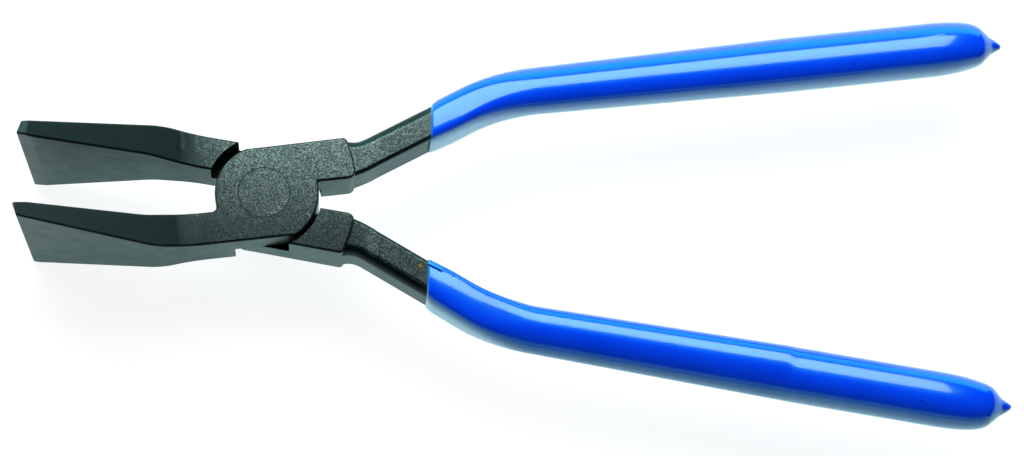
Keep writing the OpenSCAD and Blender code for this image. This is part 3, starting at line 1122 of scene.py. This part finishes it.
@dataclass(frozen=True)
class PhosphatedSteel:
    """Black phosphated steel with a fine blasted grain on its level faces, and painted shade and
    highlights in its colour.
    """

    name: str = "black_phosphated_steel"
    flat: Colour = (0.084, 0.138, 0.134)
    green: Colour = (0.052, 0.112, 0.102)
    pit: Colour = (0.004, 0.009, 0.009)
    flare: Colour = (0.015, 0.035, 0.033)
    ground: Colour = (0.125, 0.125, 0.121)
    stained: Colour = (0.055, 0.050, 0.028)
    # Near black: painted shade in the pocket, on the rear jaw, on the shanks' sides and on faces
    # towards +X
    painted_shade: Colour = (0.002, 0.003, 0.003)
    # Painted shade on the round edges
    painted_edge_shade: Colour = (0.002, 0.005, 0.005)
    bright: Colour = (0.75, 0.80, 0.80)
    rust: Colour = (0.20, 0.085, 0.015)
    edge_tint: Colour = (0.78, 0.75, 0.72)
    metallic: float = 0.6
    roughness: float = 0.24
    ground_roughness: float = 0.34
    gloss: float = 0.5
    bump: float = 0.4
    grain: float = 0.00003
    grain_scale: float = 3400.0
    grain_tone: Span = (0.0, 0.75)
    grain_share: float = 0.88
    jaw_grain_share: float = 0.2
    patch_scale: float = 190.0
    patch_tone: Span = (0.35, 0.75)
    # Painted shade: how much darker the level faces grow towards -Y near the head, and where
    dim: float = 0.74
    low_y: Span = (0.014, -0.016)
    low_x: Span = (0.033, 0.026)
    jaw_x: Span = (-0.007, -0.022)
    grain_x: Span = (-0.032, -0.014)
    shank_x: Span = (0.0295, 0.0325)
    rear_y: Span = (0.01, -0.01)
    level_tilt: Span = (0.75, 0.9)
    end_facing: Span = (0.5, 0.75)
    # Where round edges get painted shade, and how much
    edge_tilt: Span = (0.99, 0.93)
    wall_tilt: Span = (0.02, 0.15)
    inner_facing: Span = (-0.2, -0.45)
    inner_dark: float = 0.95
    outer_facing: Span = (0.2, 0.45)
    end_edge_facing: Span = (0.5, 0.7)
    outer_dark: float = 0.8
    stain_reach: Span = (-0.0028, -0.0002)
    # Painted shade along the shanks, and what the rear one adds
    shank_dim: float = 0.4
    rear_shank_dim: float = 0.25
    rear_jaw_shade: float = 0.3
    end_shade: float = 0.85
    shank_shade: float = 0.7
    ground_patch: float = 0.4
    ground_grain: float = 0.35
    stain_share: float = 0.25
    patch_rough: float = 0.02
    jaw_rough: float = 0.1
    hidden_rough: float = 0.3
    dull_gloss: float = -0.25
    shaded_gloss: float = -0.2
    shaded_metal: float = -0.35
    rust_dot: Mark = Mark((0.0437, -0.0191), (0.0439, -0.0193), 0.0006)
    scratch: Mark = Mark((0.0123, -0.0056), (0.0130, -0.0064), 0.0003, 0.12)
    # Painted highlights: lighter streaks across the bend from the flares to the head
    highlight_streaks: tuple[Mark, ...] = (
        Mark((-0.0232, 0.0158), (-0.0228, 0.0118), 0.0009, 0.4),
        Mark((-0.0192, 0.0150), (-0.0186, 0.0116), 0.0009, 0.4),
        Mark((-0.0167, 0.0142), (-0.0163, 0.0112), 0.0009, 0.4),
        Mark((-0.0235, -0.0066), (-0.0180, -0.0068), 0.0009, 0.4))

    def speckle(self, web: Wiring) -> Socket:
        """Fine dots left by the blasting."""
        grains = web.add("TexVoronoi", {"Vector": web.place, "Scale": self.grain_scale})
        return web.between(web.add("SeparateXYZ", {0: grains["Color"]})[0], self.grain_tone)

    def patches(self, web: Wiring) -> Socket:
        """Soft patches of another tone."""
        return web.between(web.noise(self.patch_scale, detail=3), self.patch_tone)

    def closed(self, web: Wiring, colour: Socket, height: Socket, **more: object) -> Material:
        """Ends the finish with its shader.

        Args:
            web: The finish's wiring.
            colour: Its colour.
            height: Height of its grain, from 0 to 1.
            more: The shader's other inputs, with _ for a space in their names.

        Returns:
            The material.
        """
        bump = web.add("Bump", {"Strength": self.bump, "Distance": self.grain, "Height": height})
        return web.close(web.add("BsdfPrincipled", {
            "Base Color": colour, "Metallic": self.metallic, "Roughness": self.roughness,
            "Specular Tint": (*self.edge_tint, 1), "Normal": bump[0],
            **{name.replace("_", " "): value for name, value in more.items()}}))

    def edges(self, web: Wiring, way: Outputs, tilt: Socket) -> Socket:
        """Finds the round edges that get painted shade, standing in for a dark room mirrored in
        them.

        Args:
            web: The finish's wiring.
            way: The surface's normal by X, Y and Z.
            tilt: How level the surface lies, from 0 to 1.

        Returns:
            A mask of them.
        """
        round_part = web.times(*(web.between(tilt, span)
                                 for span in (self.edge_tilt, self.wall_tilt)))
        inner = web.times(web.between(way["Y"], self.inner_facing), self.inner_dark)
        outer = web.math("MAXIMUM", web.between(way["Y"], self.outer_facing),
                         web.between(way["X"], self.end_edge_facing))
        return web.times(round_part, web.math("MAXIMUM", inner,
                                              web.times(outer, self.outer_dark)))

    def material(self) -> Material:
        """Builds the finish.

        Returns:
            The material.
        """
        web = Wiring(bpy.data.materials.new(self.name))
        way = web.add("SeparateXYZ", {0: web.add("NewGeometry")["Normal"]})
        tilt = web.math("ABSOLUTE", way["Z"])
        level = web.between(tilt, self.level_tilt)
        jaw, rough_part, shank = (web.between(web.spot["X"], span)
                                  for span in (self.jaw_x, self.grain_x, self.shank_x))
        rear = web.between(web.spot["Y"], self.rear_y)
        patches, speckle = self.patches(web), self.speckle(web)
        # Painted shade: darker towards -Y near the head, and along the shanks, the rear one more
        low_shade = web.times(web.between(web.spot["Y"], self.low_y),
                        web.between(web.spot["X"], self.low_x))
        dim = web.shifted(self.shank_dim, (rear, self.rear_shank_dim))
        low_shade = web.math("MAXIMUM", low_shade, web.times(shank, dim))
        # Painted shade on faces towards +X and on the shanks' sides
        end = web.times(web.between(way["X"], self.end_facing), self.end_shade)
        shaded = web.math("MAXIMUM", end, web.times(shank, self.shank_shade))
        # Painted shade in the pocket and on the lapped face
        painted_shade = web.add("Attribute", attribute_name="painted_shade")["Fac"]
        dots = web.times(speckle, web.math(
            "MAXIMUM", web.times(rough_part, self.grain_share), self.jaw_grain_share))
        tone = web.coats(
            self.flat, (self.green, patches), (self.pit, low_shade, self.dim), (self.flare, jaw),
            # Painted shade on the rear jaw
            (self.painted_shade, web.times(jaw, rear), self.rear_jaw_shade),
            # Painted highlight streaks
            *((self.flat, web.stroke(streak)) for streak in self.highlight_streaks),
            (self.pit, dots), (self.bright, web.stroke(self.scratch)))
        # The sides' colour, with painted shade where shaded
        ground = web.coats(self.ground, (self.flare, patches, self.ground_patch),
                           (self.pit, speckle, self.ground_grain), (self.painted_shade, shaded))
        colour = web.coats(
            # Painted shade on the round edges
            ground, (tone, level), (self.painted_edge_shade, self.edges(web, way, tilt)),
            (self.stained, web.between(web.past_dip(), self.stain_reach), self.stain_share),
            (self.rust, web.stroke(self.rust_dot)), (self.painted_shade, painted_shade))
        rough = web.add("MapRange", {"Value": level, "To Min": self.ground_roughness,
                                     "To Max": self.roughness})["Result"]
        dull = web.times(web.math("MAXIMUM", jaw, low_shade), level)
        shaded = web.times(shaded, web.math("SUBTRACT", 1.0, level))
        return self.closed(
            web, colour, web.times(level, rough_part, speckle),
            Roughness=web.shifted(rough, (patches, self.patch_rough), (jaw, self.jaw_rough),
                                  (painted_shade, self.hidden_rough)),
            Specular_IOR_Level=web.shifted(self.gloss, (dull, self.dull_gloss),
                                           (shaded, self.shaded_gloss)),
            Metallic=web.shifted(self.metallic, (shaded, self.shaded_metal)))


@dataclass(frozen=True)
class DressedRivetSteel(PhosphatedSteel):
    """The rivet's steel, dressed flush and phosphated with the plates."""

    name: str = "dressed_rivet_steel"
    flat: Colour = (0.074, 0.124, 0.121)
    # Painted glints: pale speckle towards the rivet's lower right corner
    glint_colour: Colour = (0.42, 0.46, 0.45)
    ring_r: float = 0.00725
    ring_w: float = 0.00034
    ring_soft: float = 0.6
    dots: float = 0.84
    glint_share: float = 0.2
    glint_scale: float = 1500.0
    glint_tone: Span = (0.5, 0.62)
    glint_reach: Span = (0.0045, 0.0095)

    def material(self) -> Material:
        """Builds the finish.

        Returns:
            The material.
        """
        web = Wiring(bpy.data.materials.new(self.name))
        radius = web.vector("LENGTH", web.vector("MULTIPLY", web.place, IN_PLAN)[0])["Value"]
        speckle = self.speckle(web)
        # Painted glints towards +X and -Y
        corner = web.math("SUBTRACT", web.spot["X"], web.spot["Y"])
        glint = web.times(web.between(web.noise(self.glint_scale, roughness=0.6), self.glint_tone),
                         web.between(corner, self.glint_reach))
        ring = web.between(radius, (self.ring_r - self.ring_w,
                                    self.ring_r - self.ring_w * self.ring_soft))
        tone = web.coats(
            self.flat, (self.green, self.patches(web)),
            # Painted shade: darker towards -Y
            (self.pit, web.between(web.spot["Y"], self.low_y), self.dim),
            (self.pit, speckle, self.dots), (self.glint_colour, glint, self.glint_share),
            (self.pit, ring))
        return self.closed(web, tone, speckle)


@dataclass(frozen=True)
class DippedPlastic:
    """Glossy blue plastisol that the handles are dipped in."""

    name: str = "blue_dipped_plastic"
    colour: Colour = (0.0, 0.058, 0.96)
    deep: Colour = (0.0, 0.050, 0.90)
    # Painted highlight along the sleeve's edge, where its rounded lip catches the light
    edge_highlight: Colour = (0.02, 0.30, 0.90)
    # A real dark speck, and painted shade in the crease of the lifted lip
    dot: Colour = (0.0, 0.006, 0.10)
    sheen: Colour = (0.06, 1.0, 0.1)
    roughness: float = 0.24
    ior: float = 1.5
    gloss: float = 0.7
    skin_ior: float = 1.42
    skin_roughness: float = 0.09
    cloud_scale: float = 40.0
    cloud_tone: Span = (0.35, 0.7)
    edge_highlight_reach: Span = (0.0007, 0.0002)
    ripple_scale: float = 60.0
    ripple_share: float = 0.3
    bump: float = 0.5
    bump_height: float = 0.0004
    edge_highlight_share: float = 0.8
    lip_depth: float = -0.6
    lip: Mark = Mark((0.0459, -0.0190), (0.0497, -0.0208), 0.00045)
    # Painted highlight on the lifted lip's edge
    lip_highlight: Mark = Mark((0.0462, -0.0183), (0.0498, -0.0200), 0.0005, 0.6)
    speck: Mark = Mark((0.1833, -0.0534), (0.1834, -0.0534), 0.0004)
    bead: Mark = Mark((0.1876, 0.0529), (0.1926, 0.0544), 0.0007, 0.2)
    dent: Mark = Mark((0.1273, -0.0398), (0.1315, -0.0403), 0.0008, -0.25)

    def material(self) -> Material:
        """Builds the finish.

        Returns:
            The material.
        """
        web = Wiring(bpy.data.materials.new(self.name))
        cloud = web.between(web.noise(self.cloud_scale), self.cloud_tone)
        # Painted highlight just past the sleeve's edge
        edge_highlight = web.between(web.past_dip(), self.edge_highlight_reach)
        # The lifted lip: a groove in the bump, no coat, and painted shade in its crease
        lip = web.stroke(self.lip)
        colour = web.coats(
            self.colour, (self.deep, cloud), (self.edge_highlight, edge_highlight, self.edge_highlight_share),
            (self.edge_highlight, web.stroke(self.lip_highlight)), (self.dot, lip),
            (self.dot, web.stroke(self.speck)))
        height = web.times(web.noise(self.ripple_scale, detail=1), self.ripple_share)
        for part in (web.times(lip, self.lip_depth), web.stroke(self.bead),
                     web.stroke(self.dent)):
            height = web.math("ADD", height, part)
        bump = web.add("Bump", {"Strength": self.bump, "Distance": self.bump_height,
                                "Height": height})[0]
        whole = web.math("SUBTRACT", 1.0, lip)
        return web.close(web.add("BsdfPrincipled", {
            "Base Color": colour, "Roughness": self.roughness, "IOR": self.ior,
            "Specular IOR Level": web.times(whole, self.gloss),
            "Specular Tint": (*self.sheen, 1), "Coat Weight": whole,
            "Coat Roughness": self.skin_roughness, "Coat IOR": self.skin_ior,
            "Normal": bump, "Coat Normal": bump}))


@dataclass(frozen=True)
class PaleTable:
    """The white table, which also shows white where the camera and reflections see it."""

    name: str = "white_table"
    tone: Colour = (0.35, 0.35, 0.35)
    seen_tone: Colour = (0.2, 0.2, 0.2)
    lift: float = 0.9
    mirrored_lift: float = 1.0
    cool: Colour = (0.54, 0.86, 0.88)

    def material(self) -> Material:
        """Builds the finish.

        Returns:
            The material.
        """
        web = Wiring(bpy.data.materials.new(self.name))
        path = web.add("LightPath")
        direct = web.math("ADD", path["Is Camera Ray"], path["Is Transmission Ray"], clamp=True)
        mirrored = web.times(path["Is Glossy Ray"], self.mirrored_lift)
        matt = web.add("BsdfDiffuse", {"Color": web.coats(self.tone, (self.seen_tone, direct))})
        glow = web.add("Emission", {
            "Color": web.coats(WHITE, (self.cool, path["Is Glossy Ray"])),
            "Strength": web.shifted(mirrored, (direct, self.lift))})
        return web.close(web.add("AddShader", {0: matt[0], 1: glow[0]}))


def aimed(at: Vector, right: Vector, up: Vector, ahead: Vector) -> Matrix:
    """Matrix of a camera or lamp, from its place and its three directions."""
    return Matrix.Translation(at) @ Matrix((right, up, -ahead)).transposed().to_4x4()


@dataclass(frozen=True)
class Lamp:
    """A rectangular lamp: its place, its target, its size, and its glow, where 1 is white."""

    name: str
    at: Place
    target: Place
    size: Span
    glow: float
    tint: Colour = WHITE
    watts_per_m2: float = 4.0

    def hang(self) -> None:
        """Hangs the lamp, with one of its sides along X."""
        data = bpy.data.lights.new(self.name, "AREA")
        data.shape = "RECTANGLE"
        data.size, data.size_y = self.size
        data.energy = self.glow * self.watts_per_m2 * self.size[0] * self.size[1]
        data.color = self.tint
        at = Vector(self.at)
        ahead = (Vector(self.target) - at).normalized()
        right = Vector((1, 0, 0))
        right = (right - ahead * right.dot(ahead)).normalized()
        linked(self.name, data).matrix_world = aimed(at, right, right.cross(ahead), ahead)


@dataclass
class Studio:
    """The camera at the photograph's angle, the table, the room and the lamps."""

    camera_at: Vector = Vector((0.01966, -0.20536, 0.75912))
    camera_right: Vector = Vector((0.9975389, 0.0146896, 0.0685593))
    camera_down: Vector = Vector((0.0314074, -0.9678375, -0.2496079))
    camera_ahead: Vector = Vector((0.0626876, 0.2511469, -0.9659169))
    lens: float = 99.54
    sensor_w: float = 36.0
    clip: Span = (0.01, 50.0)
    table_z: float = -0.0362
    table_size: float = 8.0
    room_glow: float = 0.03
    lamps: tuple[Lamp, ...] = (
        Lamp("softbox", (-0.05, 0.545, 0.84), (-0.05, 0, 0), (1.14, 0.62), 5.2),
        Lamp("side_screen", (0.07, 1.1, 0.3), (0.07, 0, 0.1), (2.4, 0.68), 2.0,
             (0.13, 0.94, 1.0)),
        Lamp("front_card", (0.07, -1.0, 0.15), (0.07, 0, 0), (2.4, 0.24), 0.6, (0.5, 0.95, 1.0)))

    def camera(self) -> None:
        """Sets up the camera."""
        data = bpy.data.cameras.new("camera")
        data.lens, data.sensor_width = self.lens, self.sensor_w
        data.clip_start, data.clip_end = self.clip
        camera = linked("camera", data)
        camera.matrix_world = aimed(self.camera_at, self.camera_right, -self.camera_down,
                                    self.camera_ahead)
        bpy.context.scene.camera = camera

    def table(self) -> None:
        """Lays the table under the pliers."""
        bm = bmesh.new()
        bmesh.ops.create_grid(bm, x_segments=1, y_segments=1, size=self.table_size / 2)
        bmesh.ops.translate(bm, verts=bm.verts, vec=(0, 0, self.table_z))
        table = meshed("table", bm)
        table.data.materials.append(PaleTable().material())

    def world(self) -> None:
        """Sets the room's dim light, which the camera sees as white."""
        web = Wiring(bpy.data.worlds.new("room"))
        bpy.context.scene.world = web.owner
        seen = web.add("LightPath")["Is Camera Ray"]
        room = web.add("Background", {"Color": (*WHITE, 1), "Strength": self.room_glow})
        white = web.add("Background", {"Color": (*WHITE, 1)})
        web.close(web.add("MixShader", {0: seen, 1: room[0], 2: white[0]}), "OutputWorld")

    def build(self) -> None:
        """Sets everything up."""
        bpy.context.scene.view_settings.view_transform = "Standard"
        self.camera()
        self.table()
        self.world()
        for lamp in self.lamps:
            lamp.hang()


def main() -> None:
    """Builds the pliers and their studio, piece by piece."""
    logging.basicConfig(level=logging.INFO, format="%(name)s: %(message)s")
    steel = PhosphatedSteel().material()
    rivet = Rivet()
    built = [rivet.build(DressedRivetSteel().material())]
    for side in Side:
        gap = rivet.clearance if side is Side.REAR else 0.0
        built.append(ForgedHalf(side).build(steel, rivet.hole(gap)))
    plastic = DippedPlastic().material()
    for side in Side:
        built.append(DippedSleeve(side).build(plastic))
    Studio().build()
    LOG.info("%d pieces built", len(built))


if __name__ == "__main__":
    main()
